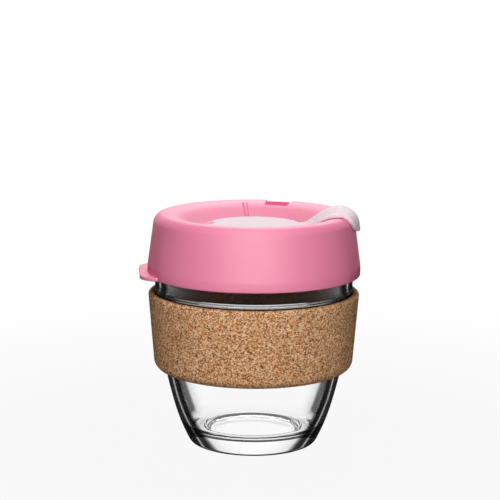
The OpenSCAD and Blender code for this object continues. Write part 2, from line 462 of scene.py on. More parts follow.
class FinishBoard(NodeBoard):
    """The node tree of one material, with the patterns that the finishes use."""

    def __init__(self, name: str) -> None:
        """Makes the material with its one Principled shader.

        Args:
            name: Name of the material.
        """
        self.material = bpy.data.materials.new(name)
        self.material.use_nodes = True
        super().__init__(self.material.node_tree)
        self.shader = self.tree.nodes["Principled BSDF"]
        self.output = self.tree.nodes["Material Output"]
        coordinates = self.add("ShaderNodeTexCoord").outputs
        self.place, self.normal = coordinates["Object"], coordinates["Normal"]

    def finish(self, inputs: dict[str, object]) -> bpy.types.Material:
        """Sets the shader's sockets and hands over the material.

        Args:
            inputs: Values of the sockets, or the sockets that give them, by name.

        Returns:
            The material.
        """
        for name, value in inputs.items():
            self.feed(self.shader, name, value)
        return self.material

    def lay_over(self, share: Socket, under: bpy.types.Node, over: bpy.types.Node) -> None:
        """Shows a share of one shader over another."""
        both = self.add("ShaderNodeMixShader", {0: share, 1: under.outputs[0], 2: over.outputs[0]})
        self.feed(self.output, "Surface", both.outputs[0])

    def noise(self, scale: float, detail: float = 3.0) -> Socket:
        """A cloudy pattern from 0 to 1, with scale in repeats per metre."""
        sockets = {"Vector": self.place, "Scale": scale, "Detail": detail, "Roughness": 0.5}
        return self.add("ShaderNodeTexNoise", sockets).outputs["Fac"]

    def cells(self, scale: float, feature: str, output: str) -> Socket:
        """A pattern of cells, with scale in cells per metre."""
        sockets = {"Vector": self.place, "Scale": scale}
        return self.add("ShaderNodeTexVoronoi", sockets, feature=feature).outputs[output]

    def attribute(self, name: str) -> Socket:
        """Value that the mesh holds at each of its points."""
        return self.add("ShaderNodeAttribute", attribute_name=name).outputs["Fac"]

    def facing(self) -> Socket:
        """Is 0 where the surface faces the eye and 1 where it turns away."""
        return self.add("ShaderNodeLayerWeight", {"Blend": 0.5}).outputs["Facing"]

    def upward(self, vector: Socket) -> Socket:
        """Upward part of a place, or of the surface's direction."""
        return self.add("ShaderNodeSeparateXYZ", {"Vector": vector}).outputs["Z"]

    def ramp(self, value: Socket, stops: tuple[float, ...], *colours: Colour) -> Socket:
        """Turns a value into a colour.

        Args:
            value: The socket that gives the value.
            stops: Place of each stop.
            colours: Colour at each stop.

        Returns:
            The socket that gives the colour.
        """
        node = self.add("ShaderNodeValToRGB", {"Fac": value})
        elements = node.color_ramp.elements
        while len(elements) < len(stops):
            elements.new(1.0)
        for element, place, colour in zip(elements, stops, colours):
            element.position = place
            element.color = (*colour, 1.0)
        return node.outputs["Color"]

    def blend(self, share: object, first: object, second: object, how: str = "MIX") -> Socket:
        """Mixes two colours.

        Args:
            share: Share of the second colour.
            first: First colour, or the socket that gives it.
            second: Second colour, or the socket that gives it.
            how: Kind of mixing.

        Returns:
            The socket that gives the mixed colour.
        """
        node = self.add("ShaderNodeMix", data_type="RGBA", blend_type=how)
        for place, value in ((0, share), (6, first), (7, second)):
            self.feed(node, place, value)
        return node.outputs[2]

    def bump(self, height: Socket, depth: float, under: Socket | None = None) -> Socket:
        """Makes a bumpy surface.

        Args:
            height: The socket that gives the pattern.
            depth: Real depth of the bumps in metres.
            under: A bumpy surface that this one lies on.

        Returns:
            The socket that gives the surface's direction.
        """
        sockets = {"Height": height, "Strength": 1.0, "Distance": depth}
        if under is not None:
            sockets["Normal"] = under
        return self.add("ShaderNodeBump", sockets).outputs["Normal"]


@dataclass(frozen=True)
class GlassFinish:
    """Clear pressed glass, polished, with painted shade: a black matt shader mixed in where the surface
    turns away from the eye draws dark edges, darkens the base seen from inside and draws dark lines on the
    floor ring.
    """

    clear: Colour = (0.997, 1.0, 0.998)
    # Black of the matt shader that paints shade along the edges, in the base and on the floor ring's lines.
    edge: Colour = (0.006, 0.006, 0.007)
    painted_edge_stops: tuple[float, ...] = (0.34, 0.42, 0.5, 0.54, 0.57, 0.655, 0.69, 0.72)
    painted_edge_share: tuple[float, ...] = (0.0, 0.08, 0.22, 0.8, 0.97, 0.98, 0.55, 0.98)
    refraction: float = 1.5
    mirror: Colour = (0.12, 0.12, 0.12)
    # Strength of the painted dark lines on the floor ring.
    painted_line_share: float = 0.37
    # Extra painted shade in the base seen from inside the glass, and the heights over which it fades.
    base_shade_gain: Span = (0.09, 0.05)
    base_reach: Span = (0.004, 0.022)
    lying: Span = (0.45, 0.8)
    ripple_scale: float = 55.0
    ripple_depth: float = 0.00001
    polish_scale: float = 400.0
    polish: Span = (0.0, 0.012)

    def material(self) -> bpy.types.Material:
        """Builds the glass.

        Returns:
            The material.
        """
        board = FinishBoard("clear_glass")
        within = board.add("ShaderNodeNewGeometry").outputs["Backfacing"]
        # Painted shade: seen from inside, the base is darkened by adding to the turn away from the eye.
        near_base = board.spread(board.upward(board.place), 1.0, 0.0, *self.base_reach)
        base_shade = board.math("MULTIPLY", board.spread(within, *self.base_shade_gain), near_base)
        turned = board.math("ADD", board.facing(), base_shade)
        # Share of painted shade, rising as the surface turns away from the eye, kept to upright faces.
        share = board.ramp(turned, self.painted_edge_stops, *((value,) * 3 for value in self.painted_edge_share))
        standing = board.spread(board.upward(board.normal), 1.0, 0.0, *self.lying)
        share = board.math("MULTIPLY", share, standing)
        # The mark is -1 under the foot, which stays clear of painted shade, and above 0 on the painted dark
        # lines of the floor ring.
        mark = board.attribute(GlassCup.PAINTED_SHADE_MARK)
        share = board.math("MULTIPLY", share, board.spread(mark, 0.0, 1.0, -1.0, 0.0))
        share = board.math("MAXIMUM", share, board.math("MULTIPLY", mark, self.painted_line_share))
        # The black matt shader laid over the glass by this share is painted shade.
        board.lay_over(share, board.shader, board.add("ShaderNodeBsdfDiffuse", {"Color": self.edge}))
        return board.finish(
            {
                "Base Color": self.clear,
                "Roughness": board.spread(board.noise(self.polish_scale), *self.polish),
                "IOR": self.refraction,
                "Specular Tint": self.mirror,
                "Transmission Weight": 1.0,
                "Normal": board.bump(board.noise(self.ripple_scale, detail=1.0), self.ripple_depth),
            }
        )


@dataclass(frozen=True)
class CorkFinish:
    """Pressed cork of fine granules, unsealed, with painted shade that darkens its inner face, where the
    inside of the cup lies in shade.
    """

    dark: Colour = (0.1, 0.03, 0.006)
    brown: Colour = (0.6, 0.258, 0.1)
    tan: Colour = (0.87, 0.437, 0.207)
    pale: Colour = (0.98, 0.74, 0.485)
    tone_stops: tuple[float, ...] = (0.0, 0.3, 0.6, 0.92)
    granules: float = 2250.0
    seam: Colour = (0.45, 0.19, 0.065)
    seam_share: float = 0.25
    seam_w: float = 0.06
    groove_w: float = 0.14
    groove_depth: float = 0.00006
    grit: float = 4200.0
    grit_shade: Colour = (0.62, 0.58, 0.53)
    grit_stops: Span = (0.32, 0.52)
    grit_depth: float = 0.00002
    patches: float = 140.0
    patch_shade: Colour = (0.88, 0.86, 0.83)
    patch_stops: Span = (0.35, 0.6)
    shade_share: float = 0.8
    specks: float = 700.0
    speck_stops: Span = (0.7, 0.76)
    # Painted shade multiplied onto the inner face, for the shade inside the cup.
    inner_shade: Colour = (0.24, 0.15, 0.09)
    shine: Span = (0.7, 0.95)
    gloss: float = 0.01

    def material(self) -> bpy.types.Material:
        """Builds the cork.

        Returns:
            The material.
        """
        board = FinishBoard("pressed_cork")
        tone = board.add("ShaderNodeSeparateColor", {"Color": board.cells(self.granules, "F1", "Color")})
        tones = (self.dark, self.brown, self.tan, self.pale)
        body = board.ramp(tone.outputs["Red"], self.tone_stops, *tones)
        gap = board.cells(self.granules, "DISTANCE_TO_EDGE", "Distance")
        body = board.blend(board.spread(gap, self.seam_share, 0.0, until=self.seam_w), body, self.seam)
        grit = board.noise(self.grit, detail=2.0)
        shade = board.ramp(grit, self.grit_stops, self.grit_shade, WHITE)
        body = board.blend(self.shade_share, body, shade, "MULTIPLY")
        patch = board.ramp(board.noise(self.patches), self.patch_stops, self.patch_shade, WHITE)
        body = board.blend(self.shade_share, body, patch, "MULTIPLY")
        speck = board.ramp(board.noise(self.specks, detail=2.0), self.speck_stops, BLACK, WHITE)
        body = board.blend(speck, body, self.dark)
        # Painted shade: the inner face is darkened.
        body = board.blend(board.attribute(CorkBand.PAINTED_INNER_SHADE), body, self.inner_shade, "MULTIPLY")
        grooves = board.bump(board.spread(gap, 0.0, 1.0, until=self.groove_w), self.groove_depth)
        return board.finish(
            {
                "Base Color": body,
                "Roughness": board.spread(grit, *self.shine),
                "Specular IOR Level": self.gloss,
                "Normal": board.bump(grit, self.grit_depth, grooves),
            }
        )


@dataclass(frozen=True)
class LidFinish:
    """Satin moulded plastic with a fine spark grain, and a deeper pink painted in the park recess as painted
    glow of light shining through its thin wall.
    """

    base: Colour = (0.745, 0.188, 0.312)
    cloud: Colour = (0.755, 0.195, 0.32)
    cloud_scale: float = 90.0
    cloud_stops: Span = (0.35, 0.65)
    # Deeper pink painted in the park recess: painted glow of light shining through the thin wall there.
    recess_glow: Colour = (0.82, 0.1, 0.24)
    grain: float = 2600.0
    grain_depth: float = 0.000012
    shine: Span = (0.48, 0.56)
    shine_scale: float = 700.0
    gloss: Span = (1.0, 0.0)
    lying: Span = (0.1, 0.5)
    lying_gloss: float = 0.6
    glow: float = 0.12
    glow_tint: Colour = (1.0, 0.45, 0.5)
    glow_reach: float = 0.0015

    def material(self) -> bpy.types.Material:
        """Builds the plastic.

        Returns:
            The material.
        """
        board = FinishBoard("satin_lid_plastic")
        clouds = board.noise(self.cloud_scale, detail=2.0)
        body = board.ramp(clouds, self.cloud_stops, self.base, self.cloud)
        # Share of the painted recess glow; the gloss of upward faces is held off it.
        wall = board.attribute(Lid.RECESS_GLOW_MARK)
        lying = board.spread(board.upward(board.normal), 0.0, self.lying_gloss, *self.lying)
        lying = board.math("MULTIPLY", lying, board.spread(wall, 1.0, 0.0))
        gloss = board.spread(board.facing(), *self.gloss, *EDGE_FADE)
        return board.finish(
            {
                "Base Color": board.blend(wall, body, self.recess_glow),
                "Roughness": board.spread(board.noise(self.shine_scale), *self.shine),
                "Specular IOR Level": board.math("MAXIMUM", gloss, lying),
                "Subsurface Weight": self.glow,
                "Subsurface Radius": self.glow_tint,
                "Subsurface Scale": self.glow_reach,
                "Normal": board.bump(board.noise(self.grain, detail=2.0), self.grain_depth),
            }
        )


@dataclass(frozen=True)
class PlugFinish:
    """Milky soft plastic that lets some light through."""

    base: Colour = (0.705, 0.577, 0.624)
    cloud: Colour = (0.725, 0.597, 0.644)
    cloud_scale: float = 160.0
    cloud_stops: Span = (0.35, 0.65)
    grain: float = 1800.0
    grain_depth: float = 0.00001
    shine: Span = (0.56, 0.66)
    gloss: Span = (1.0, 0.3)
    glow: float = 0.6
    glow_tint: Colour = (1.0, 0.85, 0.9)
    glow_reach: float = 0.003

    def material(self) -> bpy.types.Material:
        """Builds the soft plastic.

        Returns:
            The material.
        """
        board = FinishBoard("milky_plug")
        clouds = board.noise(self.cloud_scale)
        grain = board.noise(self.grain, detail=2.0)
        return board.finish(
            {
                "Base Color": board.ramp(clouds, self.cloud_stops, self.base, self.cloud),
                "Roughness": board.spread(grain, *self.shine),
                "Specular IOR Level": board.spread(board.facing(), *self.gloss, *EDGE_FADE),
                "Subsurface Weight": self.glow,
                "Subsurface Radius": self.glow_tint,
                "Subsurface Scale": self.glow_reach,
                "Normal": board.bump(grain, self.grain_depth),
            }
        )


@dataclass
class Piece:
    """What every piece of the cup has: its name, its body, its slot and the node that it stands for."""

    name: str
    node: str
    body: Body
    slot: Slot

    def shape(self) -> bpy.types.Object:
        """Builds the mesh."""
        raise NotImplementedError

    def finish(self) -> bpy.types.Material:
        """Builds the material."""
        raise NotImplementedError

    def build(self) -> bpy.types.Object:
        """Builds and dresses the piece and seats it on its body.

        Returns:
            The finished piece.
        """
        made = self.shape()
        made.data.materials.append(self.finish())
        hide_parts(self.node)
        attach(made, self.body.value)
        log.info("%s: %d faces on body %s", made.name, len(made.data.polygons), self.body.value)
        return made


@dataclass
class GlassCup(Piece):
    """The pressed glass: thick base, bowed wall, straight collar and rounded lip."""

    # Mark of painted shade on the points: -1 under the foot, which stays clear of it, and RING_SHADE for the
    # painted dark lines across the floor ring, from outside inwards.
    PAINTED_SHADE_MARK = "painted_dark_line"
    RING_SHADE = (0.0, 0.5, 1.0, 0.4, 0.0, 0.3, 0.6, 0.3, 0.0)
    UNDERSIDE = slice(0, 5)
    HOLLOW_RIM = slice(2, 4)
    FLOOR_POINTS = 2

    wall_t: float = 2.8
    base_t: float = 7.0
    collar_h: float = 10.0
    wall_bow_r: float = 205.0
    heel_h: float = 16.0
    heel_bow_r: float = 80.0
    foot_round: float = 3.0
    floor_round: float = 6.0
    foot_ring_w: float = 4.5
    push_up: float = 1.0
    hollow_slope: float = 1.8
    hollow_round: float = 0.7
    ridge_lift: float = 0.35
    ridge_w: float = 0.95
    ridge_h: float = 0.22
    ridge_steps: int = 20
    ring_r: float = 20.2
    ring_w: float = 1.4
    ring_h: float = 0.2
    steps_round: int = 256

    def __post_init__(self) -> None:
        """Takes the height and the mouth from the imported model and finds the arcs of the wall."""
        high = node_box(self.node)[1]
        self.height = high.z
        self.mouth_r = high.x
        self.wall_z = self.height - self.collar_h
        self.ridge_z = node_box(BAND_NODE)[1].z + self.ridge_lift
        self.wall_c = (self.mouth_r - self.wall_bow_r, self.wall_z)
        self.heel_a = self.wall_angle(self.heel_h)
        self.heel_c = on_circle(self.wall_c, self.wall_bow_r - self.heel_bow_r, self.heel_a)

    def wall_angle(self, height: float, offset: float = 0.0) -> float:
        """Direction from the centre of the wall's bow to a height on it, or at an offset outside it."""
        return math.degrees(math.asin((height - self.wall_z) / (self.wall_bow_r + offset)))

    def outside(self) -> list[Point]:
        """Draws the outside, from the middle of the hollow base to the collar.

        Returns:
            The points in order.
        """
        foot_r = nested_radius(self.heel_c, self.heel_bow_r, self.foot_round, self.foot_round)
        foot_c = (foot_r, self.foot_round)
        foot_a = direction_of(self.heel_c, foot_c)
        hollow_r = foot_r - self.foot_ring_w
        flat_r = hollow_r - self.hollow_slope
        low_a, top_a = (self.wall_angle(self.ridge_z + rise) for rise in (0.0, 2.0 * self.ridge_w))
        return (
            [(0.0, self.push_up), (flat_r / 2.0, self.push_up), (flat_r, self.push_up), (hollow_r, 0.0)]
            + arc(foot_c, self.foot_round, -90.0, foot_a, 14)
            + arc(self.heel_c, self.heel_bow_r, foot_a, self.heel_a, 12)[1:]
            + arc(self.wall_c, self.wall_bow_r, self.heel_a, low_a, 20)[1:]
            + self.ridges()
            + arc(self.wall_c, self.wall_bow_r, top_a, 0.0, 4)
        )

    def ridges(self) -> list[Point]:
        """Draws the two fine ridges above the band.

        Returns:
            The points in order, without the ends on the plain wall.
        """
        found = []
        for share in (step / self.ridge_steps for step in range(1, self.ridge_steps)):
            height = self.ridge_z + 2.0 * self.ridge_w * share
            wall_r = nested_radius(self.wall_c, self.wall_bow_r, 0.0, height)
            found.append((wall_r + self.ridge_h * math.sin(2.0 * math.pi * share) ** 2, height))
        return found

    def floor_ring(self) -> list[Point]:
        """Draws the faint ring that the mould leaves on the floor.

        Returns:
            The points from the outside of the ring inwards.
        """
        last = len(self.RING_SHADE) - 1
        return [
            (
                self.ring_r + self.ring_w * (0.5 - step / last),
                self.base_t + self.ring_h * math.sin(math.pi * step / last) ** 2,
            )
            for step in range(last + 1)
        ]

    def inside(self) -> list[Point]:
        """Draws the inside, from the collar down to the middle of the floor.

        Returns:
            The points in order.
        """
        floor_z = self.base_t + self.floor_round
        floor_r = nested_radius(self.heel_c, self.heel_bow_r - self.wall_t, self.floor_round, floor_z)
        floor_a = direction_of(self.heel_c, (floor_r, floor_z))
        return (
            arc(self.wall_c, self.wall_bow_r - self.wall_t, 0.0, self.heel_a, 24)
            + arc(self.heel_c, self.heel_bow_r - self.wall_t, self.heel_a, floor_a, 8)[1:]
            + arc((floor_r, floor_z), self.floor_round, floor_a, -90.0, 16)[1:]
            + self.floor_ring()
            + [(floor_r / 2.0, self.base_t), (0.0, self.base_t)]
        )

    def shape(self) -> bpy.types.Object:
        """Turns the wall's profile about the axis and marks the painted dark lines of the floor ring and the
        underside, which stays clear of painted shade.

        Returns:
            The undressed glass.
        """
        lip_r = self.wall_t / 2.0
        lip = arc((self.mouth_r - lip_r, self.height - lip_r), lip_r, 0.0, 180.0, 16)
        glass = Shape()
        line = glass.bm.verts.layers.float.new(self.PAINTED_SHADE_MARK)
        verts = glass.profile(self.outside() + lip + self.inside(), closed=False)
        # Painted shade: dark lines on the floor ring, and -1 under the foot to keep it clear.
        ring_end = len(verts) - self.FLOOR_POINTS
        for vert, shade in zip(verts[ring_end - len(self.RING_SHADE) : ring_end], self.RING_SHADE):
            vert[line] = shade
        for vert in verts[self.UNDERSIDE]:
            vert[line] = -1.0
        glass.round_points(verts[self.HOLLOW_RIM], self.hollow_round)
        glass.turn([(360.0, self.steps_round)])
        return glass.finish(self.name)

    def finish(self) -> bpy.types.Material:
        """Clear glass."""
        return GlassFinish().material()


@dataclass
class CorkBand(Piece):
    """The ring of pressed cork round the middle of the glass."""

    PAINTED_INNER_SHADE = "painted_inner_shade"

    glass: GlassCup = field(kw_only=True)
    low_t: float = 4.8
    top_t: float = 2.8
    low_round: float = 4.4
    top_round: float = 1.3
    inner_round: float = 0.5
    gap: float = 0.05
    steps_round: int = 256

    def shape(self) -> bpy.types.Object:
        """Turns the band's profile about the axis and marks its inner face for painted shade.

        Returns:
            The undressed band.
        """
        low, high = node_box(self.node)
        low_a, top_a = (self.glass.wall_angle(z, self.gap) for z in (low.z, high.z))
        inside = arc(self.glass.wall_c, self.glass.wall_bow_r + self.gap, top_a, low_a, 12)
        low_r, top_r = inside[-1][0] + self.low_t, inside[0][0] + self.top_t
        low_c = (low_r - self.low_round, low.z + self.low_round)
        top_c = (top_r - self.top_round, high.z - self.top_round)
        outside = (
            arc(low_c, self.low_round, -90.0, 0.0, 10)
            + between((low_r, low_c[1]), (top_r, top_c[1]), 8)
            + arc(top_c, self.top_round, 0.0, 90.0, 6)
        )
        band = Shape()
        # Marks the inner face, which gets painted shade.
        inner_shade = band.bm.verts.layers.float.new(self.PAINTED_INNER_SHADE)
        verts = band.profile(outside + inside)
        for vert in verts[len(outside) :]:
            vert[inner_shade] = 1.0
        band.round_points([verts[len(outside)], verts[-1]], self.inner_round)
        band.turn([(360.0, self.steps_round)])
        return band.finish(self.name)

    def finish(self) -> bpy.types.Material:
        """Pressed cork."""
        return CorkFinish().material()


@dataclass
class Lid(Piece):
    """The press-on lid: skirt, crest, dish, sealing ring, lift tab, park recess, stop rib and opening."""

    RECESS_GLOW_MARK = "painted_recess_glow"

    glass: GlassCup = field(kw_only=True)
    open_angle: float = field(kw_only=True)
    gap: float = 0.2
    skirt_t: float = 2.75
    upright_h: float = 3.9
    lean: float = 7.8
    lead_in: float = 0.8
    crest_round: float = 4.05
    crest_round_in: float = 16.5
    dish_depth: float = 6.5
    dish_slope: float = 32.0
    dish_round: float = 6.0
    dish_t: float = 1.8
    seat_w: float = 1.2
    seal_t: float = 1.6
    seal_depth: float = 5.0
    channel_below_crest: float = 2.7
    bore_r: float = 5.1
    brim_round: float = 0.7
    edge_round: float = 0.35
    sip_w: float = 10.5
    sip_l: float = 5.2
    sip_land: float = 0.9
    sip_roundness: float = 0.98
    vent_d: float = 1.0
    vent_r: float = 19.9
    tab_reach: float = 3.4
    tab_w: float = 36.0
    tab_a: float = 187.0
    tab_t: float = 1.6
    tab_corner: float = 11.0
    tab_round: float = 0.5
    park_depth: float = 0.65
    park_reach: float = 6.2
    park_span: float = 17.0
    park_sides: tuple[Span, Span] = ((1.2, 0.6), (0.4, 0.4))
    park_end: Span = (0.4, 0.5)
    park_brow: Span = (2.4, -0.5)
    rib_a: float = 99.6
    rib_h: float = 0.7
    rib_half_w: Span = (1.0, 0.35)
    rib_top: Span = (0.05, 0.08)
    rib_foot: Span = (0.5, 0.8)
    rib_side: Span = (0.3, 0.3)
    fine_turn: Span = (60.0, 104.0)
    fine_steps: int = 176
    plain_steps: int = 212

    def __post_init__(self) -> None:
        """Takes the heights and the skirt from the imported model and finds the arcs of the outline."""
        low, high = node_box(self.node)
        self.skirt_z = low.z
        self.skirt_r = high.x
        self.crest_z = high.z
        self.lean_z = self.skirt_z + self.upright_h
        self.crest_r = self.lean_r(self.crest_z - self.crest_round, -self.crest_round)
        self.crest_c = (self.crest_r, self.crest_z - self.crest_round_in)
        self.dish_z = self.crest_z - self.dish_depth
        bend = self.crest_round_in + self.dish_round
        slope = math.radians(self.dish_slope)
        fall = self.dish_depth - bend * (1.0 - math.cos(slope))
        self.dish_r = self.crest_r - bend * math.sin(slope) - fall / math.tan(slope)
        self.seal_out_r = self.glass.mouth_r - self.glass.wall_t - self.gap
        self.seal_in_r = self.seal_out_r - self.seal_t

    def lean_r(self, height: float, offset: float) -> float:
        """Radius of a line at an offset outside the leaning skirt."""
        lean = math.radians(self.lean)
        return self.skirt_r - (height - self.lean_z) * math.tan(lean) + offset / math.cos(lean)

    def crest_line(self, offset: float, start: float = 90.0) -> list[Point]:
        """Points at an offset above the crest, from an angle on it to the dish wall."""
        return arc(self.crest_c, self.crest_round_in + offset, start, 90.0 + self.dish_slope, 28)

    def foot_line(self, offset: float) -> list[Point]:
        """Points at an offset above the foot of the dish wall."""
        centre = (self.dish_r, self.dish_z + self.dish_round)
        return arc(centre, self.dish_round - offset, self.dish_slope - 90.0, -90.0, 10)

    def top_line(self, offset: float, height: float) -> list[Point]:
        """Draws a line above the lid, from the skirt to the dish floor.

        Args:
            offset: Distance of the line from the lid.
            height: Height of its first point, beside the skirt.

        Returns:
            The points in order.
        """
        shoulder_c = (self.crest_r, self.crest_z - self.crest_round)
        shoulder = arc(shoulder_c, self.crest_round + offset, self.lean, 90.0, 14)
        start = (self.lean_r(height, offset), height)
        wall = self.crest_line(offset)[1:]
        foot = self.foot_line(offset)
        return [start, *shoulder, *wall, *between(wall[-1], foot[0], 8), *foot]

    def shell(self) -> Shape:
        """Turns the moulded shell, with the channel that takes the lip of the glass.

        Returns:
            The shell with its park recess and its stop rib.
        """
        skirt_in_r = self.glass.mouth_r + self.gap
        seat_z = self.glass.height + self.gap
        channel_r = self.glass.mouth_r - self.seat_w
        channel_z = self.crest_z - self.channel_below_crest
        seal_z = self.glass.height - self.seal_depth
        crest_under_r = self.crest_round_in - self.dish_t
        seal_a = math.degrees(math.acos((self.seal_in_r - self.crest_r) / crest_under_r))
        brim = [(skirt_in_r + self.lead_in, self.skirt_z), (self.skirt_r, self.skirt_z)]
        top = self.top_line(0.0, self.lean_z)
        bore = [(self.bore_r, self.dish_z), (self.bore_r, self.dish_z - self.dish_t)]
        under = (self.crest_line(-self.dish_t, seal_a) + self.foot_line(-self.dish_t))[::-1]
        ring = [
            (self.seal_in_r, seal_z),
            (self.seal_out_r - self.seal_t / 2.0, seal_z),
            (self.seal_out_r, seal_z + self.seal_t / 2.0),
            (self.seal_out_r, channel_z),
            (channel_r, channel_z),
            (channel_r, seat_z),
            (skirt_in_r, seat_z),
            (skirt_in_r, self.skirt_z + self.lead_in),
        ]
        shell = Shape()
        upper = shell.bm.verts.layers.int.new("upper")
        verts = shell.profile(brim + top + bore + under + ring)
        first = len(brim)
        for vert in verts[first + 1 : first + len(top)]:
            vert[upper] = 1
        rounded = {1: self.brim_round, first: self.brim_round, first + len(top): self.edge_round}
        for place, radius in rounded.items():
            shell.round_points([verts[place]], radius)
        start, end = self.fine_turn
        shell.turn([(end - start, self.fine_steps), (360.0 - end + start, self.plain_steps)], start=start)
        for vert in shell.bm.verts:
            if vert[upper]:
                vert.co += self.relief(vert.co)
        shell.bm.normal_update()
        return shell

    def park(self, place: Vector) -> float:
        """Shapes the recess in which the open arm parks.

        Args:
            place: A place on the top of the lid.

        Returns:
            Share of the recess's depth there.
        """
        angle = math.degrees(math.atan2(place.y, place.x)) - self.open_angle
        radius = math.hypot(place.x, place.y)
        side = -self.park_span / 2.0
        share = soft_edge(angle, side, self.park_sides[0]) * soft_edge(-angle, side, self.park_sides[1])
        share *= 1.0 - soft_edge(self.crest_r - radius, self.park_reach, self.park_end)
        if radius > self.crest_r:
            share *= soft_edge(place.z, self.crest_z, self.park_brow)
        return share

    def rib(self, place: Vector) -> float:
        """Shapes the rib that stops the arm.

        Args:
            place: A place on the top of the lid.

        Returns:
            Share of the rib's height there.
        """
        angle = math.degrees(math.atan2(place.y, place.x)) - self.rib_a
        radius = math.hypot(place.x, place.y)
        aside = abs(math.radians(angle) * radius)
        top_r = self.crest_r - self.crest_round_in * math.sin(math.radians(self.dish_slope / 2.0))
        down = (top_r - radius) / (top_r - self.dish_r)
        wide, narrow = self.rib_half_w
        half_w = wide + (narrow - wide) * min(max(down, 0.0), 1.0)
        ends = soft_edge(down, 0.0, self.rib_top) * soft_edge(radius, self.dish_r, self.rib_foot)
        return ends * (1.0 - soft_edge(aside, half_w, self.rib_side))

    def relief(self, place: Vector) -> Vector:
        """Finds the move of a point on the top of the lid that makes the recess and the rib.

        Args:
            place: The point on the plain top.

        Returns:
            The move along the surface's own direction.
        """
        rise = self.rib_h * self.rib(place) - self.park_depth * self.park(place)
        radius = math.hypot(place.x, place.y)
        inward = min(radius - self.crest_r, 0.0)
        slope = math.asin(max(inward / self.crest_round_in, -math.sin(math.radians(self.dish_slope))))
        outward = Vector((place.x / radius, place.y / radius, 0.0))
        return rise * (math.sin(slope) * outward + Vector((0.0, 0.0, math.cos(slope))))

    def tab(self) -> Shape:
        """Builds the wide tongue that a thumb lifts.

        Returns:
            The tongue, cut to fit the skirt.
        """
        inner_r = self.skirt_r - self.skirt_t / 2.0
        side = self.tab_w / 2.0
        corners = rectangle(math.sqrt(inner_r**2 - side**2), self.skirt_r + self.tab_reach, side)
        top_z = self.skirt_z + self.tab_t
        tab = Shape()
        tab.plate(corners, self.skirt_z, top_z, {1: self.tab_corner, 2: self.tab_corner})
        tab.round_edges(self.tab_round, above=60.0)
        tab.rotate(self.tab_a)
        bore = Shape()
        bore.rod((0.0, 0.0), inner_r, self.skirt_z - OVERCUT, top_z + OVERCUT, sides=192)
        tab.join(bore, Join.CUT)
        return tab

    def opening(self) -> Shape:
        """Builds what is cut away for the drinking opening.

        Returns:
            An upright bar of the opening's outline.
        """
        half_l = self.sip_l / 2.0
        middle = self.seal_in_r - self.sip_land - half_l
        corners = rectangle(middle - half_l, middle + half_l, self.sip_w / 2.0)
        rounding = dict.fromkeys(range(4), half_l * self.sip_roundness)
        slot = Shape()
        slot.plate(corners, self.dish_z - self.dish_t, self.crest_z + 2.0 * OVERCUT, rounding)
        return slot

    def shape(self) -> bpy.types.Object:
        """Joins the shell and the tab, cuts the opening and the vent and marks the park recess for its
        painted glow.

        Returns:
            The undressed lid.
        """
        lid = self.shell()
        lid.join(self.tab(), Join.ADD)
        lid.join(self.opening(), Join.CUT)
        vent = Shape()
        vent_z = self.dish_z - 2.0 * self.dish_t
        vent.rod((-self.vent_r, 0.0), self.vent_d / 2.0, vent_z, self.crest_z, sides=32)
        lid.join(vent, Join.CUT)
        made = lid.finish(self.name)
        # Marks the park recess, which gets the painted glow of light through its thin wall.
        recess_glow = made.data.attributes.new(self.RECESS_GLOW_MARK, "FLOAT", "POINT")
        low = self.crest_z - self.dish_t
        for vert, cell in zip(made.data.vertices, recess_glow.data):
            place = vert.co / MM
            cell.value = self.park(place) if place.z > low else 0.0
        return made

    def finish(self) -> bpy.types.Material:
        """Satin plastic."""
        return LidFinish().material()


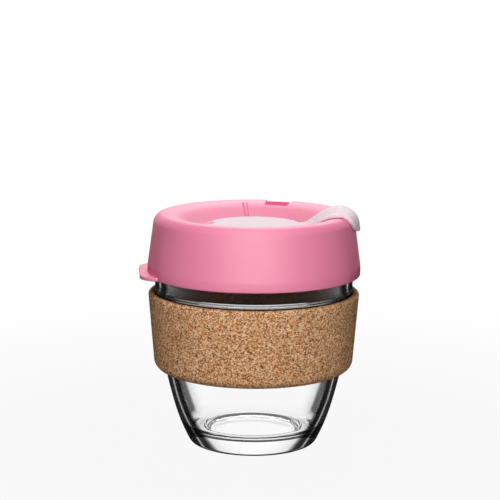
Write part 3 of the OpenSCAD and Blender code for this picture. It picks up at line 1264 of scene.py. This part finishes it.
@dataclass
class SwivelPlug(Piece):
    """The soft plug: a disc on a snap stem, with an arm that hooks over the rim of the lid."""

    HALVINGS = 24

    lid: Lid = field(kw_only=True)
    gap: float = 0.2
    disc_t: float = 1.9
    disc_round: float = 0.8
    under_round: float = 0.3
    moat_w: float = 1.6
    arm_t: float = 1.6
    arm_half_angle: float = 18.6
    arm_round: float = 0.4
    arm_root: float = 2.0
    hook_drop: float = 6.0
    arm_rows: int = 64
    arm_legs: tuple[tuple[float, int], ...] = ((0.6, 1), (4.0, 16), (28.0, 24), (4.0, 16), (0.6, 1))
    hook_corner: float = 8.0
    notch_r: float = 4.0
    notch_depth: float = 2.8
    stem_r: float = 5.0
    head_lip: float = 1.0
    head_t: float = 1.6
    steps_round: int = 160

    def __post_init__(self) -> None:
        """Finds the disc's place from the lid's dish."""
        self.disc_r = self.lid.dish_r - self.moat_w
        self.disc_z = self.lid.dish_z + self.gap
        self.hook_z = self.lid.crest_z - self.hook_drop

    def disc(self) -> Shape:
        """Turns the disc, its swivel stem and the snap head under the dish floor.

        Returns:
            The disc without its arm.
        """
        head_z = self.lid.dish_z - self.lid.dish_t - self.gap
        low_z, top_z = head_z - self.head_t, self.disc_z + self.disc_t
        head_r = self.stem_r + self.head_lip
        edge_c = (self.disc_r - self.disc_round, top_z - self.disc_round)
        under = [
            (0.0, low_z),
            (self.stem_r, low_z),
            (head_r, head_z - self.head_t / 2.0),
            (head_r, head_z),
            (self.stem_r, head_z),
            (self.stem_r, self.disc_z),
            (self.disc_r, self.disc_z),
        ]
        edge = arc(edge_c, self.disc_round, 0.0, 90.0, 6)
        top = [(self.disc_r * share, top_z) for share in (0.8, 0.6, 0.4, 0.2, 0.0)]
        disc = Shape()
        verts = disc.profile(under + edge + top, closed=False)
        disc.round_points([verts[len(under) - 1]], self.under_round)
        disc.turn([(360.0, self.steps_round)])
        return disc

    def hook_end(self, aside: float) -> float:
        """Finds how far down the hooked end reaches.

        Args:
            aside: Distance from the arm's middle line.

        Returns:
            Height of the end there.
        """
        end_r = self.lid.lean_r(self.hook_z, self.gap + self.arm_t)
        half_w = end_r * math.sin(math.radians(self.arm_half_angle))
        past = min(max(aside - half_w + self.hook_corner, 0.0), self.hook_corner)
        return self.hook_z + self.hook_corner - math.sqrt(self.hook_corner**2 - past**2)

    def tracks(self) -> tuple[Track, Track]:
        """Draws the arm's section, from the hooked end to the root in the disc.

        Returns:
            Its upper and its lower line.
        """
        root_r = self.disc_r - self.arm_root
        upper = self.lid.top_line(self.gap + self.arm_t, self.hook_z) + [(root_r, self.disc_z + self.arm_t)]
        root = [(self.disc_r + self.moat_w / 4.0, self.disc_z), (root_r, self.disc_z + self.disc_t / 2.0)]
        lower = self.lid.top_line(self.gap, self.hook_z) + root
        return Track(upper), Track(lower)

    def hook_start(self, track: Track, angle: float) -> float:
        """Finds where the rounded hooked end cuts a line of the arm.

        Args:
            track: The line.
            angle: Direction of the line about the axis, in radians.

        Returns:
            The distance from the line's first point.
        """
        low, high = 0.0, track.length / 2.0
        for _ in range(self.HALVINGS):
            middle = (low + high) / 2.0
            radius, height = track.at(middle)
            if height < self.hook_end(abs(radius * math.sin(angle))):
                low = middle
            else:
                high = middle
        return high if high > MERGE_DISTANCE else 0.0

    def arm(self) -> Shape:
        """Turns the arm, which follows the dish, the crest and the skirt of the lid at the running gap.

        Returns:
            The arm with its rounded hooked end.
        """
        tracks = self.tracks()
        shares = [i / self.arm_rows for i in range(self.arm_rows + 1)]
        places = [(0, share) for share in shares] + [(1, share) for share in reversed(shares)]
        arm = Shape()
        line = arm.bm.verts.layers.int.new("line")
        along = arm.bm.verts.layers.float.new("along")
        verts = arm.profile([tracks[which].at(share * tracks[which].length) for which, share in places])
        for vert, (which, share) in zip(verts, places):
            vert[line] = which
            vert[along] = share
        arm.turn(list(self.arm_legs), start=-self.arm_half_angle)
        for vert in arm.bm.verts:
            track = tracks[vert[line]]
            angle = math.atan2(vert.co.y, vert.co.x)
            start = self.hook_start(track, angle)
            radius, height = track.at(start + vert[along] * (track.length - start))
            vert.co = Vector((radius * math.cos(angle), radius * math.sin(angle), height))
        arm.close_ends()
        arm.round_edges(self.arm_round, above=50.0)
        return arm

    def shape(self) -> bpy.types.Object:
        """Joins the disc and the arm and cuts the nail notch.

        Returns:
            The undressed plug.
        """
        plug = self.disc()
        plug.join(self.arm(), Join.ADD)
        notch = Shape()
        centre = (-(self.disc_r + self.notch_r - self.notch_depth), 0.0)
        notch.rod(centre, self.notch_r, self.disc_z - OVERCUT, self.disc_z + self.disc_t + OVERCUT)
        plug.join(notch, Join.CUT)
        return plug.finish(self.name)

    def finish(self) -> bpy.types.Material:
        """Milky soft plastic."""
        return PlugFinish().material()


@dataclass(frozen=True)
class Softbox:
    """A flat lamp that points at the cup, with place, width and height in metres."""

    name: str
    place: Place
    size: Span
    watts: float
    aim: Place = (0.0, 0.0, 0.06)

    def build(self) -> None:
        """Hangs the lamp."""
        lamp = bpy.data.lights.new(self.name, "AREA")
        lamp.shape = "RECTANGLE"
        lamp.size, lamp.size_y = self.size
        lamp.energy = self.watts
        hung = bpy.data.objects.new(self.name, lamp)
        hung.location = self.place
        hung.rotation_euler = (Vector(self.aim) - Vector(self.place)).to_track_quat("-Z", "Y").to_euler()
        bpy.context.scene.collection.objects.link(hung)
        log.info("%s: %.1f W", self.name, self.watts)


@dataclass
class Studio:
    """The pale floor, the white surround, the lamps and the camera."""

    floor_side: float = 16.0
    floor_drop: float = 0.0002
    floor_colour: Colour = (0.07, 0.07, 0.07)
    floor_glow: Span = (0.93, 1.0)
    glow_reach: Span = (0.06, 0.34)
    ambient: float = 0.02
    distance: float = 700.0
    eye_height: float = 204.3
    pitch: float = 10.0
    roll: float = 0.39
    azimuth: float = 2.5
    focal_pixels: float = 1719.0
    picture_pixels: float = 500.0
    axis_pixel: float = 254.1
    sensor: float = 36.0
    lamps: tuple[Softbox, ...] = (
        Softbox("front_softbox", (0.03, -0.6, 0.2), (0.7, 0.22), 2.9),
        Softbox("high_softbox", (0.02, -0.45, 0.55), (0.5, 0.25), 1.2),
        Softbox("top_softbox", (-0.02, -0.05, 0.74), (0.22, 0.7), 1.9),
        Softbox("back_softbox", (0.0, 0.85, 0.8), (0.4, 0.4), 5.2),
    )

    def floor(self) -> None:
        """Lays the pale floor, which keeps the cup's shadow."""
        sheet = Shape()
        place = Matrix.Translation((0.0, 0.0, -self.floor_drop))
        bmesh.ops.create_grid(sheet.bm, x_segments=4, y_segments=4, size=self.floor_side / 2.0, matrix=place)
        floor = sheet.to_object("floor")
        board = FinishBoard("pale_floor")
        board.tree.nodes.remove(board.shader)
        away = board.add("ShaderNodeVectorMath", {0: board.place}, operation="LENGTH").outputs["Value"]
        glow = board.spread(away, *self.floor_glow, *self.glow_reach, interpolation_type="SMOOTHSTEP")
        matt = board.add("ShaderNodeBsdfDiffuse", {"Color": self.floor_colour})
        white = board.add("ShaderNodeEmission")
        board.lay_over(board.math("MULTIPLY", board.seen_directly(), glow), matt, white)
        floor.data.materials.append(board.material)
        floor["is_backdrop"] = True

    def surround(self) -> None:
        """Makes the surround white to the eye and dimmer as a source of light."""
        world = bpy.data.worlds.new("white_surround")
        world.use_nodes = True
        board = NodeBoard(world.node_tree)
        light = board.tree.nodes["Background"]
        board.feed(light, "Color", WHITE)
        board.feed(light, "Strength", board.spread(board.seen_directly(), self.ambient, 1.0))
        bpy.context.scene.world = world

    def camera(self) -> None:
        """Sets the camera at the photograph's view."""
        pitch, roll = math.radians(self.pitch), math.radians(self.roll)
        aside = -(self.axis_pixel - self.picture_pixels / 2.0) / self.focal_pixels * self.distance
        forward = Vector((0.0, math.cos(pitch), -math.sin(pitch)))
        level_up = Vector((0.0, math.sin(pitch), math.cos(pitch)))
        level_right = Vector((1.0, 0.0, 0.0))
        right = math.cos(roll) * level_right + math.sin(roll) * level_up
        up = math.cos(roll) * level_up - math.sin(roll) * level_right
        turned = Matrix((right, up, -forward)).transposed().to_4x4()
        place = Matrix.Translation(Vector((aside, -self.distance, self.eye_height)) * MM)
        lens = bpy.data.cameras.new("camera")
        lens.sensor_width = self.sensor
        lens.lens = self.focal_pixels * self.sensor / self.picture_pixels
        eye = bpy.data.objects.new("camera", lens)
        eye.matrix_world = Matrix.Rotation(math.radians(self.azimuth), 4, "Z") @ place @ turned
        bpy.context.scene.collection.objects.link(eye)
        bpy.context.scene.camera = eye

    def build(self) -> None:
        """Builds the studio."""
        bpy.context.scene.view_settings.view_transform = "Standard"
        self.floor()
        self.surround()
        self.camera()
        for lamp in self.lamps:
            lamp.build()


def joint_limit(name: str) -> float:
    """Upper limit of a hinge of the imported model, in degrees."""
    return next(joint["range_deg"][1] for joint in frame["joints"] if joint["name"] == name)


def write_sizes() -> None:
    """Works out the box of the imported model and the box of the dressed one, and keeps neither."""
    boxes = {"cad": cad_box, "visual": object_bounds()}
    {name: [list(corner) for corner in box] for name, box in boxes.items()}


def main() -> None:
    """Builds the pieces in order, then the studio."""
    logging.basicConfig(level=logging.INFO, format="%(name)s: %(message)s")
    glass = GlassCup("pressed_glass", "glass_cup", Body.CUP, Slot.GLASS)
    band = CorkBand("cork_grip", BAND_NODE, Body.CUP, Slot.CORK, glass=glass)
    lid = Lid("moulded_lid", "lid", Body.LID, Slot.LID, glass=glass, open_angle=joint_limit("plug_turn"))
    plug = SwivelPlug("soft_plug", "plug", Body.PLUG, Slot.PLUG, lid=lid)
    for piece in (glass, band, lid, plug):
        piece.build()
    Studio().build()
    write_sizes()


if __name__ == "__main__":
    main()
